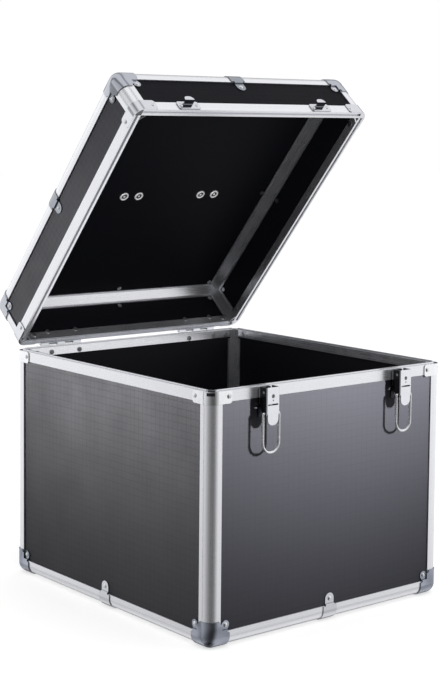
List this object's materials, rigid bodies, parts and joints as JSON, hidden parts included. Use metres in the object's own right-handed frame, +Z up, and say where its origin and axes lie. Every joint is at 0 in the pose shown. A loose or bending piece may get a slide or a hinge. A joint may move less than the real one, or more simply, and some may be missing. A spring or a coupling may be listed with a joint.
{
  "type": "record carrying case",
  "caption": "Box-shaped record carrying case with a hinged lid, metal edge extrusions, ball corners, key-locked draw latches and a folding handle.",
  "frame": {"origin": "on the floor under the middle of the bounds of the case with its lid open as at rest", "axes": "+X to the case's right seen from the latches, +Y to the back where the hinges are, +Z up"},
  "size_m": [0.3596, 0.4522, 0.6227],
  "materials": {
    "laminate_board": "plywood faced with black embossed laminate",
    "aluminium_extrusion": "bright anodised",
    "chromed_steel": "polished chrome plate",
    "rivet_steel": "zinc plated",
    "lock_metal": "nickel plated",
    "corner_insert_plastic": "matte",
    "grip_plastic": "fine grain",
    "key_steel": "nickel plated"
  },
  "bodies": {
    "case_body": {"front_panel": "laminate_board", "base_edge_front": "aluminium_extrusion", "body_rim_front": "aluminium_extrusion", "rear_panel": "laminate_board", "base_edge_rear": "aluminium_extrusion", "body_rim_rear": "aluminium_extrusion", "left_panel": "laminate_board", "base_edge_left": "aluminium_extrusion", "body_rim_left": "aluminium_extrusion", "right_panel": "laminate_board", "base_edge_right": "aluminium_extrusion", "body_rim_right": "aluminium_extrusion", "bottom_panel": "laminate_board", "upright_front_left": "aluminium_extrusion", "upright_rear_left": "aluminium_extrusion", "upright_front_right": "aluminium_extrusion", "upright_rear_right": "aluminium_extrusion", "base_ball_corners": "chromed_steel", "base_edge_clips": "chromed_steel", "body_rim_brackets": "chromed_steel", "body_corner_inserts": "corner_insert_plastic", "body_rivets": "rivet_steel", "body_hinge_leaves": "chromed_steel", "hinge_pins": "chromed_steel", "latch_pins": "chromed_steel", "left_latch_base": "chromed_steel", "right_latch_base": "chromed_steel"},
    "lid": {"lid_front_panel": "laminate_board", "lid_edge_front": "aluminium_extrusion", "lid_rim_front": "aluminium_extrusion", "lid_rear_panel": "laminate_board", "lid_edge_rear": "aluminium_extrusion", "lid_rim_rear": "aluminium_extrusion", "lid_left_panel": "laminate_board", "lid_edge_left": "aluminium_extrusion", "lid_rim_left": "aluminium_extrusion", "lid_right_panel": "laminate_board", "lid_edge_right": "aluminium_extrusion", "lid_rim_right": "aluminium_extrusion", "lid_top_panel": "laminate_board", "lid_uprights": "aluminium_extrusion", "lid_ball_corners": "chromed_steel", "lid_edge_clips": "chromed_steel", "lid_rim_brackets": "chromed_steel", "lid_corner_inserts": "aluminium_extrusion", "lid_rivets": "rivet_steel", "lid_hinge_leaves": "chromed_steel", "latch_keepers": "chromed_steel", "handle_mounts": "chromed_steel", "handle_pins": "chromed_steel", "handle_rivets": "rivet_steel"},
    "carry_handle": {"handle_grip": "grip_plastic"},
    "left_lever": {"left_latch_lever": "chromed_steel"},
    "left_bail": {"left_latch_bail": "chromed_steel"},
    "left_lock": {"left_latch_lock": "lock_metal"},
    "right_lever": {"right_latch_lever": "chromed_steel"},
    "right_bail": {"right_latch_bail": "chromed_steel"},
    "right_lock": {"right_latch_lock": "lock_metal"},
    "first_key": {"key_one": "key_steel"},
    "second_key": {"key_two": "key_steel"}
  },
  "joints": [
    {"name": "lid_hinge", "type": "hinge", "parent": "case_body", "child": "lid", "pos_m": [0, 0.18224, 0.2852], "axis": [-1, 0, 0], "range_deg": [-49.2, 45.8]},
    {"name": "handle_pivot", "type": "hinge", "parent": "lid", "child": "carry_handle", "pos_m": [0, 0.10658, 0.48251], "axis": [1, 0, 0], "range_deg": [0, 180]},
    {"name": "left_lever_pivot", "type": "hinge", "parent": "case_body", "child": "left_lever", "pos_m": [-0.102, -0.22126, 0.2762], "axis": [-1, 0, 0], "range_deg": [0, 85]},
    {"name": "left_bail_pivot", "type": "hinge", "parent": "left_lever", "child": "left_bail", "pos_m": [-0.102, -0.22256, 0.2532], "axis": [1, 0, 0], "range_deg": [-190.7, 12]},
    {"name": "left_lock_turn", "type": "hinge", "parent": "left_lever", "child": "left_lock", "pos_m": [-0.102, -0.22606, 0.272], "axis": [0, 1, 0], "range_deg": [0, 90]},
    {"name": "right_lever_pivot", "type": "hinge", "parent": "case_body", "child": "right_lever", "pos_m": [0.102, -0.22126, 0.2762], "axis": [-1, 0, 0], "range_deg": [0, 85]},
    {"name": "right_bail_pivot", "type": "hinge", "parent": "right_lever", "child": "right_bail", "pos_m": [0.102, -0.22256, 0.2532], "axis": [1, 0, 0], "range_deg": [-190.7, 12]},
    {"name": "right_lock_turn", "type": "hinge", "parent": "right_lever", "child": "right_lock", "pos_m": [0.102, -0.22606, 0.272], "axis": [0, 1, 0], "range_deg": [0, 90]},
    {"name": "first_key_lift", "type": "slide", "parent": "case_body", "child": "first_key", "axis": [0, 0, 1], "range_m": [0, 0.25]},
    {"name": "second_key_lift", "type": "slide", "parent": "case_body", "child": "second_key", "axis": [0, 0, 1], "range_m": [0, 0.25]}
  ]
}
